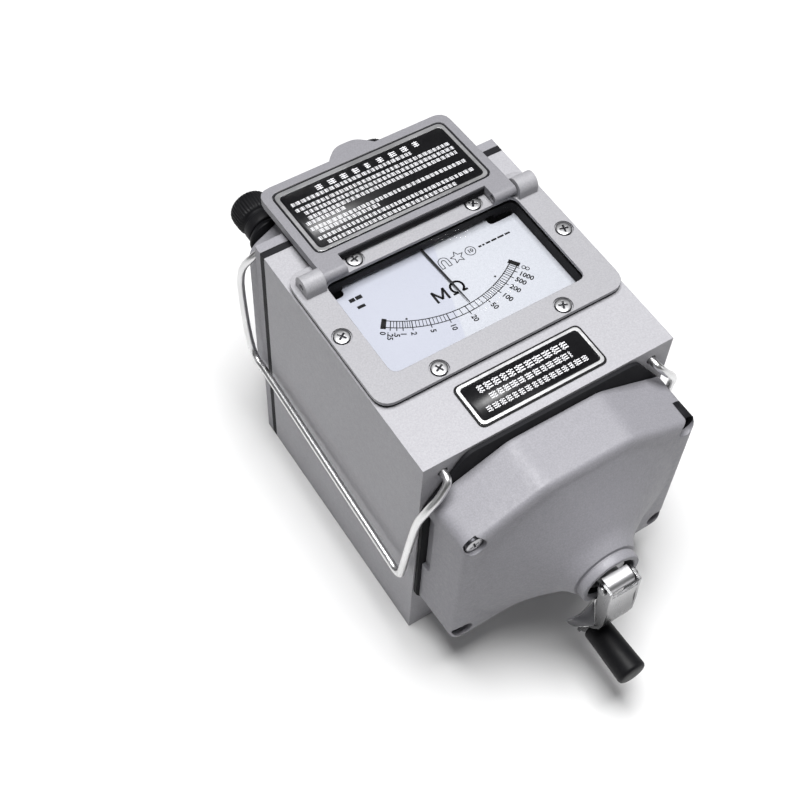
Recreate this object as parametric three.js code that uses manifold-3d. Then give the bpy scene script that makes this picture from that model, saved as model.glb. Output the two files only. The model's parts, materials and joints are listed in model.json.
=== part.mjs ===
// Hand-cranked insulation resistance tester in a cast metal case.
// Millimetres, +Z up. The origin is on the resting surface, under the middle of the case.
// The crank is at -Y, the terminals are at +Y, and the dial reads from the -Y side.
import * as THREE from 'three';
import { mergeVertices } from 'three/addons/utils/BufferGeometryUtils.js';
import Module from 'manifold-3d';

const wasm = await Module();
wasm.setup();

// ---- Driving dimensions -------------------------------------------------------------------

const GAP = 0.3;

const CASE = { w: 120, l: 120, h: 135.5, wall: 4, topWall: 3 };
const FRONT = -CASE.l / 2;
const REAR = CASE.l / 2;
const TOP = CASE.h;
const FRONT_OPENING = { w: 88, z0: 32, z1: 106 };
const REAR_OPENING = { w: 94, z0: 16, z1: 131.5 };
const TOP_OPENING = { w: 100, y0: -21.5, y1: 36.5 };

const SHAFT_Z = 74.5;
const GASKET_T = 1.7;
const REAR_GASKET_T = 3.2;

// The covers share one outline: flat top, sloping shoulders, straight sides.
const COVER = { halfW: 57.5, topHalfW: 22, bottom: 28.5, wall: 3.5, corner: 6 };
const FRONT_COVER = { top: 128.5, shoulder: 113.5, back: FRONT - 2, rim: FRONT - 25, face: FRONT - 27.5 };
const CONE = { y: FRONT - 40, r: 24, neckY: FRONT - 44.5, neckR: 18 };
const BOSS = {
  baseY: FRONT - 48.5,
  frontY: FRONT - 53.2,
  baseR: 15.3,
  r: 14.2,
  recessR: 11.5,
  recessY: FRONT - 47.5,
};
const FRONT_GASKET = [
  [-53, 27], [53, 27], [59.4, 33], [59.4, 108], [41, 134], [-41, 134], [-59.4, 108], [-59.4, 33],
];
const REAR_COVER = { top: 131.5, shoulder: 118.5, topHalfW: 36, flangeY: REAR + 3.5, stepY: REAR + 8, face: REAR + 22 };
const SCREW = { headR: 3.1, headT: 1.6, shankR: 1.7, holeR: 2.1, recessR: 4.2 };
const FRONT_SCREWS = [[-52, 111], [52, 111], [-52, 37.5], [52, 37.5]];
const REAR_SCREWS = [[-51, 101], [51, 101], [-51, 37.5], [51, 37.5]];

const BEZEL = { halfW: 59.5, y0: -30, y1: 44.5, corner: 8, z0: 137.2, z1: 138.8, recess: 1.1 };
const WINDOW = { halfW: 47, y0: -18.5, y1: 33.5, corner: 4 };
const BEZEL_SCREWS = [[-54.5, 7.3], [54.5, 7.3], [-30, -25.4], [30, -25.4], [-29.5, 38.5], [29.5, 38.5]];
const SCALE_Z = 128.7;

const HINGE = { y: 34.5, z: 141.7, lugX0: 47.6, lugX1: 57, lugR: 4.6, pinR: 1.5 };
const LID = { tilt: 3.4, halfW: 47.3, reach: 54, t: 4.2, face: 2.6, corner: 6, armW: 11, cut: 6 };
const LID_PLATE = { halfW: 43.2, y0: 9.8, y1: 49.6, t: 1, corner: 4 };

const BAIL = { pivotX: 50.5, pivotZ: 127.5, r: 1.7, holeR: 2.3 };

const CRANK = {
  hingeY: FRONT - 56.6,
  pinZ: SHAFT_Z + 4,
  blockR: 3.2,
  blockHalfW: 6.3,
  cheekX: 6.6,
  cheekT: 1.1,
  sheet: 1.4,
};
const CRANK_FOOT = { y: FRONT - 51.5, throw: 44, collar: 1.6 };
const KNOB = { length: 26.3, baseR: 6.3, endR: 6.9, boreR: 2.3 };

const MODULE = 1.25;
const DRIVE_TEETH = 48;
const IDLER_TEETH = 36;
const PINION_TEETH = 12;
const DRIVE_CENTRES = MODULE * (DRIVE_TEETH + PINION_TEETH) / 2;
const IDLER_CENTRES = MODULE * (IDLER_TEETH + PINION_TEETH) / 2;
const IDLER_AXIS = new THREE.Vector2(-DRIVE_CENTRES * Math.SQRT1_2, SHAFT_Z - DRIVE_CENTRES * Math.SQRT1_2);
const ROTOR_Z = IDLER_AXIS.y - Math.sqrt(IDLER_CENTRES ** 2 - IDLER_AXIS.x ** 2);
const ROTOR_AXIS = new THREE.Vector2(0, ROTOR_Z);
const FRAME_FRONT = FRONT + CASE.wall + GAP;
const FRAME_REAR = -30;
const STATOR = { y0: -22, y1: 12, r: 24, boreR: 17.6 };

const METER = { y: 53, magnetR: 14.6, boreR: 9.8, coreR: 6.6, z0: 100, z1: 117, pointerZ: 130, reach: 52.4 };
const POINTER_REST = THREE.MathUtils.degToRad(3.3);

const POSTS = {
  line: { x: -44.5, z: 117.5, r: 9.5, end: REAR + 45 },
  guard: { x: -12, z: 113, r: 6.5, end: REAR + 37 },
  earth: { x: 17, z: 117.5, r: 9.5, end: REAR + 45 },
};

// ---- Materials ----------------------------------------------------------------------------

function material(color, roughness, metalness) {
  return new THREE.MeshStandardMaterial({ color, roughness, metalness });
}

const PAINT = material(0x94949c, 0.55, 0.35);
const PALE_PAINT = material(0xc4c4ca, 0.5, 0.35);
const GASKET = material(0x141416, 0.8, 0);
const CHROME = material(0xdcdcdc, 0.12, 1);
const STEEL = material(0xb9babc, 0.35, 1);
const BRASS = material(0xb89a55, 0.35, 1);
const BAKELITE = material(0x101012, 0.3, 0);
const GLASS = material(0xe8eef2, 0.05, 0);
const DIAL = material(0xe4e6f2, 0.6, 0);
const LABEL = material(0x0a0a0b, 0.35, 0.2);
const MAGNET = material(0x3a3a3e, 0.6, 0.6);
const COPPER = material(0xa8663a, 0.4, 0.9);
const BOARD = material(0x6a4a2a, 0.7, 0);

// ---- Solids -------------------------------------------------------------------------------

// Closed copy of a geometry: shared corners, no flat triangles, faces pointing out.
function closed(geometry) {
  const bare = geometry.clone();
  bare.deleteAttribute('normal');
  bare.deleteAttribute('uv');
  const merged = mergeVertices(bare, 1e-4);
  const position = merged.attributes.position;
  const corners = [0, 1, 2].map(() => new THREE.Vector3());
  const faces = [];
  let volume = 0;
  for (let i = 0; i < merged.index.count; i += 3) {
    const face = [0, 1, 2].map((k) => merged.index.getX(i + k));
    if (new Set(face).size < 3) continue;
    face.forEach((v, k) => corners[k].fromBufferAttribute(position, v));
    volume += corners[0].dot(corners[1].clone().cross(corners[2]));
    faces.push(face);
  }
  merged.setIndex(faces.flatMap(([a, b, c]) => (volume < 0 ? [a, c, b] : [a, b, c])));
  return merged;
}

function solid(geometry) {
  const source = closed(geometry);
  const vertProperties = new Float32Array(source.attributes.position.array);
  const triVerts = new Uint32Array(source.index.array);
  return new wasm.Manifold(new wasm.Mesh({ numProp: 3, vertProperties, triVerts }));
}

function toGeometry(manifold) {
  const mesh = manifold.getMesh();
  const geometry = new THREE.BufferGeometry();
  geometry.setAttribute('position', new THREE.BufferAttribute(new Float32Array(mesh.vertProperties), 3));
  geometry.setIndex(new THREE.BufferAttribute(new Uint32Array(mesh.triVerts), 1));
  return geometry;
}

function join(...geometries) {
  return toGeometry(geometries.map(solid).reduce((a, b) => a.add(b)));
}

function cut(geometry, ...tools) {
  return toGeometry(tools.map(solid).reduce((a, b) => a.subtract(b), solid(geometry)));
}

function box(x0, x1, y0, y1, z0, z1) {
  const geometry = new THREE.BoxGeometry(x1 - x0, y1 - y0, z1 - z0);
  return geometry.translate((x0 + x1) / 2, (y0 + y1) / 2, (z0 + z1) / 2);
}

// Rounds the corners of an outline, each with a short curve of `steps` chords.
function rounded(points, radius, steps = 4) {
  const corners = points.map(([x, y]) => new THREE.Vector2(x, y));
  return corners.flatMap((corner, i) => {
    const before = corners[(i + corners.length - 1) % corners.length];
    const after = corners[(i + 1) % corners.length];
    const start = corner.clone().add(before.clone().sub(corner).setLength(radius));
    const end = corner.clone().add(after.clone().sub(corner).setLength(radius));
    return new THREE.QuadraticBezierCurve(start, corner, end).getPoints(steps);
  });
}

function rectangle(halfW, y0, y1, radius, steps = 4) {
  return rounded([[-halfW, y0], [halfW, y0], [halfW, y1], [-halfW, y1]], radius, steps);
}

// Prisms along each axis. An outline is (x, y) for Z, (x, z) for Y and (y, z) for X.
function prismZ(outline, z0, z1) {
  const options = { depth: z1 - z0, bevelEnabled: false };
  return new THREE.ExtrudeGeometry(new THREE.Shape(outline), options).translate(0, 0, z0);
}

function prismY(outline, y0, y1) {
  return prismZ(outline, 0, y1 - y0).rotateX(Math.PI / 2).translate(0, y1, 0);
}

const X_PRISM = new THREE.Matrix4().makeBasis(
  new THREE.Vector3(0, 1, 0),
  new THREE.Vector3(0, 0, 1),
  new THREE.Vector3(1, 0, 0),
);

function prismX(outline, x0, x1) {
  return prismZ(outline, 0, x1 - x0).applyMatrix4(X_PRISM).translate(x0, 0, 0);
}

// Cylinders along each axis, from one end to the other.
function rodZ(r, x, y, z0, z1, sides = 20) {
  return new THREE.CylinderGeometry(r, r, z1 - z0, sides).rotateX(Math.PI / 2).translate(x, y, (z0 + z1) / 2);
}

function rodY(r, x, z, y0, y1, sides = 20) {
  return new THREE.CylinderGeometry(r, r, y1 - y0, sides).translate(x, (y0 + y1) / 2, z);
}

function rodX(r, y, z, x0, x1, sides = 20) {
  return new THREE.CylinderGeometry(r, r, x1 - x0, sides).rotateZ(Math.PI / 2).translate((x0 + x1) / 2, y, z);
}

// Turned piece: a profile of (radius, distance) pairs, turned about a line along Y or Z.
function turned(profile, sides = 24) {
  return new THREE.LatheGeometry(profile.map(([r, h]) => new THREE.Vector2(r, h)), sides);
}

function turnedY(profile, x, z, sides) {
  return turned(profile, sides).translate(x, 0, z);
}

// Skin through a stack of rings with the same number of points, closed at both ends.
function loft(rings) {
  const count = rings[0].length;
  const centre = (ring) => ring.reduce((sum, p) => sum.add(p), new THREE.Vector3()).divideScalar(count);
  const points = [...rings.flat(), centre(rings[0]), centre(rings.at(-1))];
  const index = [];
  for (let i = 0; i < count; i++) {
    const j = (i + 1) % count;
    for (let k = 0; k + 1 < rings.length; k++) {
      const [a, b, c, d] = [k * count + i, k * count + j, (k + 1) * count + i, (k + 1) * count + j];
      index.push(a, b, c, b, d, c);
    }
    const last = (rings.length - 1) * count;
    index.push(rings.length * count, j, i);
    index.push(rings.length * count + 1, last + i, last + j);
  }
  const geometry = new THREE.BufferGeometry().setFromPoints(points);
  geometry.setIndex(index);
  return geometry;
}

function tube(points, radius, steps) {
  const path = new THREE.CatmullRomCurve3(points.map((p) => new THREE.Vector3(...p)), false, 'centripetal');
  const section = new THREE.Shape().absarc(0, 0, radius, 0, 2 * Math.PI);
  const options = { steps, curveSegments: 4, extrudePath: path, bevelEnabled: false };
  return new THREE.ExtrudeGeometry(section, options);
}

const group = new THREE.Group();

function add(name, geometry, look) {
  const mesh = new THREE.Mesh(closed(geometry), look);
  mesh.name = name;
  group.add(mesh);
}

// ---- Fasteners ----------------------------------------------------------------------------

// Round-headed screw with a cross recess. `under` is the face that the head seats on and
// `sign` is the side of that face the head is on.
function screw(under, sign, length) {
  const head = turned([
    [0, under - sign * length],
    [SCREW.shankR, under - sign * length],
    [SCREW.shankR, under],
    [SCREW.headR, under],
    [SCREW.headR, under + sign * SCREW.headT * 0.5],
    [SCREW.headR * 0.72, under + sign * SCREW.headT * 0.92],
    [0, under + sign * SCREW.headT],
  ], 12);
  const y = under + sign * SCREW.headT;
  const slots = [[1.7, 0.35], [0.35, 1.7]].map(([a, b]) => box(-a, a, y - 0.8, y + 0.8, -b, b));
  return cut(head, ...slots);
}

// ---- Case ---------------------------------------------------------------------------------

function coverOutline({ top, shoulder, topHalfW = COVER.topHalfW }, inset = 0) {
  const side = COVER.halfW - inset;
  const low = COVER.bottom + inset;
  const flat = topHalfW - inset * 0.3;
  return rounded([
    [-side, low],
    [side, low],
    [side, shoulder - inset * 0.6],
    [flat, top - inset],
    [-flat, top - inset],
    [-side, shoulder - inset * 0.6],
  ], COVER.corner - Math.min(inset, 3) * 0.6);
}

function ring(outline, y) {
  return outline.map((p) => new THREE.Vector3(p.x, y, p.y));
}

// Ring of the same points drawn in to a circle about the shaft.
function circleRing(outline, r, y) {
  return outline.map((p) => {
    const arm = new THREE.Vector2(p.x, p.y - SHAFT_Z).setLength(r);
    return new THREE.Vector3(arm.x, y, SHAFT_Z + arm.y);
  });
}

function bailHoles(y0, y1) {
  return [-1, 1].map((side) => rodY(BAIL.holeR, side * BAIL.pivotX, BAIL.pivotZ, y0, y1, 16));
}

function screwHoles(places, y0, y1, r = SCREW.holeR) {
  return places.map(([x, z]) => rodY(r, x, z, y0, y1, 16));
}

function makeCase() {
  const { w, h, wall, topWall } = CASE;
  const half = w / 2;
  const body = cut(
    box(-half, half, FRONT, REAR, 0, h),
    box(-half + wall, half - wall, FRONT + wall, REAR - wall, wall, h - topWall),
    box(-FRONT_OPENING.w / 2, FRONT_OPENING.w / 2, FRONT - 1, FRONT + wall + 1, FRONT_OPENING.z0, FRONT_OPENING.z1),
    box(-REAR_OPENING.w / 2, REAR_OPENING.w / 2, REAR - wall - 1, REAR + 1, REAR_OPENING.z0, REAR_OPENING.z1),
    box(-TOP_OPENING.w / 2, TOP_OPENING.w / 2, TOP_OPENING.y0, TOP_OPENING.y1, h - topWall - 1, h + 1),
    ...bailHoles(FRONT - 1, FRONT + wall + 1),
    ...bailHoles(REAR - wall - 1, REAR + 1),
    ...screwHoles(FRONT_SCREWS, FRONT - 1, FRONT + wall + 1),
    ...screwHoles(REAR_SCREWS, REAR - wall - 1, REAR + 1),
    ...BEZEL_SCREWS.map(([x, y]) => rodZ(SCREW.holeR, x, y, h - topWall - 1, h + 1, 16)),
  );
  add('case_body', body, PAINT);
}


function makeFrontCover() {
  const outline = coverOutline(FRONT_COVER);
  const outer = loft([
    ring(outline, FRONT_COVER.back),
    ring(coverOutline(FRONT_COVER, 0.6), FRONT_COVER.rim),
    ring(coverOutline(FRONT_COVER, 4.5), FRONT_COVER.face),
    circleRing(outline, CONE.r, CONE.y),
    circleRing(outline, CONE.neckR, CONE.neckY),
    circleRing(outline, BOSS.baseR, BOSS.baseY),
  ]);
  const posts = FRONT_SCREWS.map(([x, z]) => rodY(7, x, z, FRONT_COVER.face, FRONT_COVER.back + 1, 16));
  const hollow = cut(
    loft([
      ring(coverOutline(FRONT_COVER, COVER.wall), FRONT_COVER.back + 1),
      ring(coverOutline(FRONT_COVER, COVER.wall + 1), FRONT_COVER.rim + 1),
      circleRing(outline, CONE.r - 3, CONE.y + 3),
    ]),
    ...posts,
  );
  const boss = rodY(BOSS.r, 0, SHAFT_Z, BOSS.frontY, BOSS.baseY + 2, 32);
  const cover = cut(
    join(outer, boss),
    hollow,
    rodY(BOSS.recessR, 0, SHAFT_Z, BOSS.frontY - 1, BOSS.recessY, 32),
    rodY(9.3, 0, SHAFT_Z, BOSS.frontY, CONE.y + 10, 32),
    ...screwHoles(FRONT_SCREWS, FRONT_COVER.face - 2, FRONT_COVER.back + 2),
    ...screwHoles(FRONT_SCREWS, FRONT_COVER.face - 8, FRONT_COVER.rim + 1.5, SCREW.recessR),
    ...[-1, 1].map((side) => box(side * 57.5 - 1.8, side * 57.5 + 1.8, FRONT_COVER.back - 5, FRONT, 62, 104)),
  );
  add('front_cover', cover, PAINT);
  const seal = cut(
    prismY(rounded(FRONT_GASKET, 4), FRONT_COVER.back + 0.15, FRONT - 0.15),
    box(-FRONT_OPENING.w / 2, FRONT_OPENING.w / 2, FRONT - 3, FRONT + 1, FRONT_OPENING.z0, FRONT_OPENING.z1),
    ...screwHoles(FRONT_SCREWS, FRONT - 3, FRONT + 1),
  );
  add('front_gasket', seal, GASKET);
  FRONT_SCREWS.forEach(([x, z], i) => {
    const geometry = screw(FRONT_COVER.rim + 1.5 - 0.1, -1, 26).translate(x, 0, z);
    add(`front_cover_screw_${i + 1}`, geometry, STEEL);
  });
}

function makeRearCover() {
  const half = CASE.w / 2;
  const { flangeY, stepY, face } = REAR_COVER;
  const flange = box(-half, half, flangeY, stepY, 0, CASE.h);
  const hump = loft([
    ring(coverOutline(REAR_COVER), stepY - 1),
    ring(coverOutline(REAR_COVER, 0.8), face - 1.2),
    ring(coverOutline(REAR_COVER, 2), face),
  ]);
  const posts = REAR_SCREWS.map(([x, z]) => rodY(7, x, z, flangeY - 1, face, 16));
  const hollow = cut(
    loft([
      ring(coverOutline(REAR_COVER, COVER.wall + 7), flangeY - 1),
      ring(coverOutline(REAR_COVER, COVER.wall + 7), face - COVER.wall),
    ]),
    ...posts,
  );
  const cover = cut(
    join(flange, hump),
    hollow,
    box(-26, 26, flangeY - 1, stepY - 1, COVER.bottom + 12, REAR_OPENING.z1),
    ...bailHoles(flangeY - 1, stepY + 1),
    ...screwHoles(REAR_SCREWS, flangeY - 1, face + 1),
    ...screwHoles(REAR_SCREWS, face - 4, face + 3, SCREW.recessR),
    ...Object.values(POSTS).map(({ x, z }) => rodY(4.3, x, z, face - 6, face + 1, 16)),
    ...Object.values(POSTS).map(({ x, z }) => rodY(5.6, x, z, face - 12, face - COVER.wall, 16)),
  );
  add('rear_cover', cover, PAINT);
  const seal = cut(
    box(-half, half, REAR + 0.15, flangeY - 0.15, 0, CASE.h),
    box(-REAR_OPENING.w / 2, REAR_OPENING.w / 2, REAR - 1, flangeY + 1, REAR_OPENING.z0, REAR_OPENING.z1),
    ...bailHoles(REAR - 1, flangeY + 1),
    ...screwHoles(REAR_SCREWS, REAR - 1, flangeY + 1),
  );
  add('rear_gasket', seal, GASKET);
  REAR_SCREWS.forEach(([x, z], i) => {
    const geometry = screw(face - 4 + 0.1, 1, 24).translate(x, 0, z);
    add(`rear_cover_screw_${i + 1}`, geometry, STEEL);
  });
}

// ---- Window, dial and lid -----------------------------------------------------------------

function lug(side) {
  const { y, z, lugR, lugX0, lugX1, pinR } = HINGE;
  const arch = Array.from({ length: 13 }, (_, i) => {
    const a = Math.PI * (i / 12);
    return new THREE.Vector2(y + lugR * Math.cos(a), z + lugR * Math.sin(a));
  });
  const foot = BEZEL.z1 - 1;
  const profile = [...arch, new THREE.Vector2(y - lugR, foot), new THREE.Vector2(y + lugR, foot)];
  const [x0, x1] = side < 0 ? [-lugX1, -lugX0] : [lugX0, lugX1];
  return { body: prismX(profile, x0, x1), bore: rodX(pinR + 0.25, y, z, x0 - 1, x1 + 1, 16) };
}

function makeBezel() {
  const window = rectangle(WINDOW.halfW, WINDOW.y0, WINDOW.y1, WINDOW.corner);
  const outline = rectangle(BEZEL.halfW, BEZEL.y0, BEZEL.y1, BEZEL.corner, 6);
  const lugs = [-1, 1].map(lug);
  const plate = cut(
    join(prismZ(outline, BEZEL.z0, BEZEL.z1), ...lugs.map((l) => l.body)),
    prismZ(window, BEZEL.z0 - 1, BEZEL.z1 + 1),
    ...lugs.map((l) => l.bore),
    ...BEZEL_SCREWS.map(([x, y]) => rodZ(SCREW.holeR, x, y, BEZEL.z0 - 1, BEZEL.z1 + 1, 16)),
    ...BEZEL_SCREWS.map(([x, y]) => rodZ(SCREW.recessR, x, y, BEZEL.z1 - BEZEL.recess, BEZEL.z1 + 1, 16)),
  );
  add('bezel_plate', plate, PALE_PAINT);
  const under = cut(
    prismZ(rectangle(BEZEL.halfW - 0.3, BEZEL.y0 + 0.3, BEZEL.y1 - 0.3, BEZEL.corner, 6), TOP + 0.1, BEZEL.z0 - 0.1),
    prismZ(rectangle(WINDOW.halfW + 3, WINDOW.y0 - 3, WINDOW.y1 + 3, WINDOW.corner), TOP - 1, BEZEL.z1),
    ...BEZEL_SCREWS.map(([x, y]) => rodZ(SCREW.holeR, x, y, TOP - 1, BEZEL.z1, 16)),
  );
  add('bezel_gasket', under, GASKET);
  BEZEL_SCREWS.forEach(([x, y], i) => {
    const seat = BEZEL.z1 - BEZEL.recess + 0.1;
    const geometry = screw(0, 1, 4.5).rotateX(Math.PI / 2).translate(x, y, seat);
    add(`bezel_screw_${i + 1}`, geometry, STEEL);
  });
}

function makeWindow() {
  const { halfW, y0, y1, corner } = WINDOW;
  const pane = prismZ(rectangle(halfW + 2.4, y0 - 2.4, y1 + 2.4, corner), TOP - 0.4, BEZEL.z0 - 0.2);
  add('window_glass', pane, GLASS);
  const well = cut(
    prismZ(rectangle(halfW + 2.4, y0 - 2.4, y1 + 2.4, corner), SCALE_Z + 0.3, TOP - 0.6),
    prismZ(rectangle(halfW + 0.4, y0 - 0.4, y1 + 0.4, corner), SCALE_Z - 1, TOP),
    box(-38, 38, y1 - 2, y1 + 4, SCALE_Z - 1, METER.pointerZ + 1.2),
  );
  add('dial_well', well, GASKET);
  const plate = cut(
    prismZ(rectangle(halfW + 2.2, y0 - 2.2, y1 + 2.2, corner), SCALE_Z - 0.8, SCALE_Z),
    prismZ(rectangle(6, y1 - 2.6, y1 + 9, 2.2), SCALE_Z - 2, SCALE_Z + 1).translate(-halfW + 2.6, 0, 0),
    prismZ(rectangle(6.5, y1 - 2, y1 + 9, 2.2), SCALE_Z - 2, SCALE_Z + 1).translate(halfW - 6, 0, 0),
  );
  add('scale_plate', plate, DIAL);
  const name = prismZ(rectangle(30.5, FRONT + 4, FRONT + 25.5, 3), TOP + 0.1, TOP + 0.9);
  add('name_plate', name, LABEL);
}

// The lid is drawn level with its hinge line on the X axis, then laid back by its tilt.
function makeLid() {
  const { halfW, reach, t, face, corner, armW, cut: depth, tilt } = LID;
  const low = face - t;
  const tab = [[-14, reach - 8], [14, reach - 8], [12, reach], [5, reach + 6.3], [-5, reach + 6.3], [-12, reach]];
  const nose = 2.4;
  const plate = LID_PLATE;
  const frame = cut(
    join(
      prismZ(rectangle(halfW, 0, reach, corner), low, face),
      prismZ(rounded(tab, 3, 3), low, face),
      ...[-1, 1].map((side) => {
        const [x0, x1] = side < 0 ? [-halfW, -halfW + armW] : [halfW - armW, halfW];
        return join(rodX(nose + 0.2, 0, 0, x0, x1, 20), box(x0, x1, 0, corner + 1, low, face));
      }),
    ),
    box(-halfW + armW, halfW - armW, -5, depth, low - 1, face + 1),
    prismZ(rectangle(plate.halfW + 0.3, plate.y0 - 0.3, plate.y1 + 0.3, plate.corner), face - plate.t - 0.3, face + 1),
    rodX(HINGE.pinR + 0.3, 0, 0, -halfW - 1, -halfW + armW + 1, 16),
    rodX(HINGE.pinR + 0.3, 0, 0, halfW - armW - 1, halfW + 1, 16),
  );
  const panel = prismZ(rectangle(plate.halfW, plate.y0, plate.y1, plate.corner), face - plate.t, face - 0.1);
  const lay = (g) => g.rotateX(THREE.MathUtils.degToRad(-tilt)).translate(0, HINGE.y, HINGE.z);
  add('lid_frame', lay(frame), PALE_PAINT);
  add('instruction_plate', lay(panel), LABEL);
  for (const [side, label] of [[-1, 'left'], [1, 'right']]) {
    const [x0, x1] = [side * (halfW - armW + 1), side * (HINGE.lugX1 - 1)].sort((a, b) => a - b);
    add(`lid_pin_${label}`, rodX(HINGE.pinR, HINGE.y, HINGE.z, x0, x1, 16), STEEL);
  }
}

// ---- Carrying bails -----------------------------------------------------------------------

function makeBail(side, label) {
  const { pivotX, pivotZ, r } = BAIL;
  const route = [
    [pivotX, FRONT + 8, pivotZ],
    [pivotX, FRONT, pivotZ],
    [pivotX + 0.6, FRONT - 4, pivotZ - 0.6],
    [pivotX + 4.5, FRONT - 5.8, 122],
    [60.5, FRONT - 5.5, 114.5],
    [63, FRONT - 3.8, 106],
    [64, FRONT - 1, 85],
    [64.8, FRONT + 2.4, 56],
    [64.9, FRONT + 3.2, 52],
    [64.9, FRONT + 6.5, 50.2],
    [64.8, FRONT + 12, 50.5],
    [62.9, REAR + 1, 55.6],
    [63, REAR + 8, 56],
    [63, REAR + 12, 59],
    [63, REAR + 15.5, 69],
    [63, REAR + 18, 89],
    [63, REAR + 18, 105],
    [62.2, REAR + 15.6, 115.5],
    [59.4, REAR + 12.6, 122.6],
    [55, REAR + 11, 126.4],
    [pivotX + 0.8, REAR + 9.6, pivotZ - 0.2],
    [pivotX, REAR + 6, pivotZ],
    [pivotX, REAR - 6, pivotZ],
  ];
  add(`carry_bail_${label}`, tube(route.map(([x, y, z]) => [side * x, y, z]), r, 76), CHROME);
}

// ---- Crank --------------------------------------------------------------------------------

// Sheet of even thickness along a line of (outward, up) points measured from the hinge.
function sheet(line, thickness, x0, x1) {
  const points = line.map(([u, v]) => new THREE.Vector2(CRANK.hingeY - u, SHAFT_Z + v));
  const sides = [1, -1].map((side) => points.map((p, i) => {
    const before = points[Math.max(i - 1, 0)];
    const after = points[Math.min(i + 1, points.length - 1)];
    const along = after.clone().sub(before).normalize();
    return new THREE.Vector2(-along.y, along.x).multiplyScalar(side * thickness / 2).add(p);
  }));
  return prismX([...sides[0], ...sides[1].reverse()], x0, x1);
}

function makeCrank() {
  const { hingeY, pinZ, blockR, blockHalfW, cheekX, cheekT, sheet: t } = CRANK;
  const halfW = cheekX + cheekT;
  const flange = BOSS.recessY - 0.3;
  const stalk = rodY(5, 0, SHAFT_Z, hingeY + 3, FRAME_REAR + 1, 24);
  const base = rodY(9, 0, SHAFT_Z, flange - 2.4, flange, 24);
  const block = join(
    rodX(blockR, hingeY, pinZ, -blockHalfW, blockHalfW, 28),
    box(-blockHalfW, blockHalfW, hingeY, hingeY + 3.4, SHAFT_Z - 4, pinZ + blockR),
  );
  const bore = rodX(1.9, hingeY, pinZ, -12, 12, 16);
  add('drive_shaft', cut(join(stalk, base, block), bore), STEEL);
  const edge = halfW + GAP;
  const pin = join(
    rodX(1.5, hingeY, pinZ, -edge - 0.6, edge + 0.6, 16),
    rodX(2.3, hingeY, pinZ, -edge - 0.8, -edge, 16),
    rodX(2.3, hingeY, pinZ, edge, edge + 0.8, 16),
  );
  add('crank_hinge_pin', pin, STEEL);

  // The arm is a pressed channel that straddles the block: a web in front and a cheek each side,
  // bent back towards the cover at its lower end to carry the handle.
  const knobZ = SHAFT_Z - CRANK_FOOT.throw;
  const foot = CRANK_FOOT.y;
  const footU = hingeY - foot;
  const footV = knobZ - pinZ;
  const web = [
    [4.25, 2.4], [4.4, -5], [5, -12], [5.1, -18.5], [4, -24], [1.4, -28.5], [-2, -32.5], [-4.3, -36], [footU, -39.5],
    [footU, footV + 4],
  ];
  const cheek = [
    [-0.6, 3.5], [4.9, 2.9], [5.1, -5], [5.7, -12], [5.8, -18.5], [4.7, -24.4], [2, -29], [-1.4, -33], [-3.5, -35.6],
    [-5.4, -35], [-5.2, -31], [-2.6, -27], [-0.6, -21], [-0.8, -13], [-1.8, -6], [-3, -2.5], [-3.3, 0], [-2.6, 2.7],
  ];
  const plate = rounded([
    [-6, knobZ + 8], [6, knobZ + 8], [6, knobZ - 1.5], [3, knobZ - 5.6], [-3, knobZ - 5.6], [-6, knobZ - 1.5],
  ], 1, 2);
  const cheekOutline = rounded(cheek.map(([u, v]) => [hingeY - u, pinZ + v]), 0.5, 2);
  const arm = cut(
    join(
      sheet(web, t, -halfW, halfW),
      prismX(cheekOutline, -halfW, -cheekX),
      prismX(cheekOutline, cheekX, halfW),
      prismY(plate, foot - t / 2, foot + t / 2),
    ),
    bore,
    rodY(2.1, 0, knobZ, hingeY - 8, hingeY + 10, 16),
  );
  add('crank_arm', arm, CHROME);

  const base0 = foot - t / 2 - CRANK_FOOT.collar;
  const { length, baseR, endR, boreR } = KNOB;
  const end = base0 - length;
  const grip = turnedY([
    [boreR, base0],
    [baseR - 0.5, base0],
    [baseR, base0 - 0.6],
    [endR, end + 1.6],
    [endR - 0.5, end + 0.4],
    [endR - 1.6, end],
    [3.9, end],
    [3.9, end + 2.6],
    [boreR, end + 2.6],
    [boreR, base0],
  ], 0, knobZ, 28);
  add('handle_knob', grip, BAKELITE);
  const spindle = turnedY([
    [0, foot + t / 2 + 1.6],
    [3, foot + t / 2 + 1.6],
    [3, foot + t / 2 + 0.15],
    [1.8, foot + t / 2 + 0.15],
    [1.8, foot - t / 2 - 0.4],
    [2.9, foot - t / 2 - 0.4],
    [2.9, base0 + 0.4],
    [1.8, base0 + 0.4],
    [1.8, end + 2.3],
    [3.5, end + 2.3],
    [3.5, end + 0.6],
    [0, end + 0.6],
  ], 0, knobZ, 16);
  add('handle_spindle', spindle, STEEL);
  const bush = turnedY([
    [5.35, flange + 0.5],
    [9, flange + 0.5],
    [9, CONE.y + 6],
    [5.35, CONE.y + 6],
    [5.35, flange + 0.5],
  ], 0, SHAFT_Z, 24);
  add('crank_bearing', bush, BRASS);
}

// ---- Gear train ---------------------------------------------------------------------------

// Spur gear outline in (x, z) about its own centre; `phase` is the angle of one tooth.
function gearOutline(teeth, phase) {
  const pitch = MODULE * teeth / 2;
  const step = 2 * Math.PI / teeth;
  const tip = pitch + MODULE * 0.85;
  const root = pitch - MODULE * 1.2;
  const corners = [[root, -0.33], [tip, -0.11], [tip, 0.11], [root, 0.33]];
  return Array.from({ length: teeth }, (_, i) => corners.map(([r, share]) => {
    const a = phase + (i + share) * step;
    return new THREE.Vector2(r * Math.cos(a), r * Math.sin(a));
  })).flat();
}

function gear(teeth, phase, axis, y0, y1) {
  return prismY(gearOutline(teeth, phase), y0, y1).translate(axis.x, 0, axis.y);
}

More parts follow.
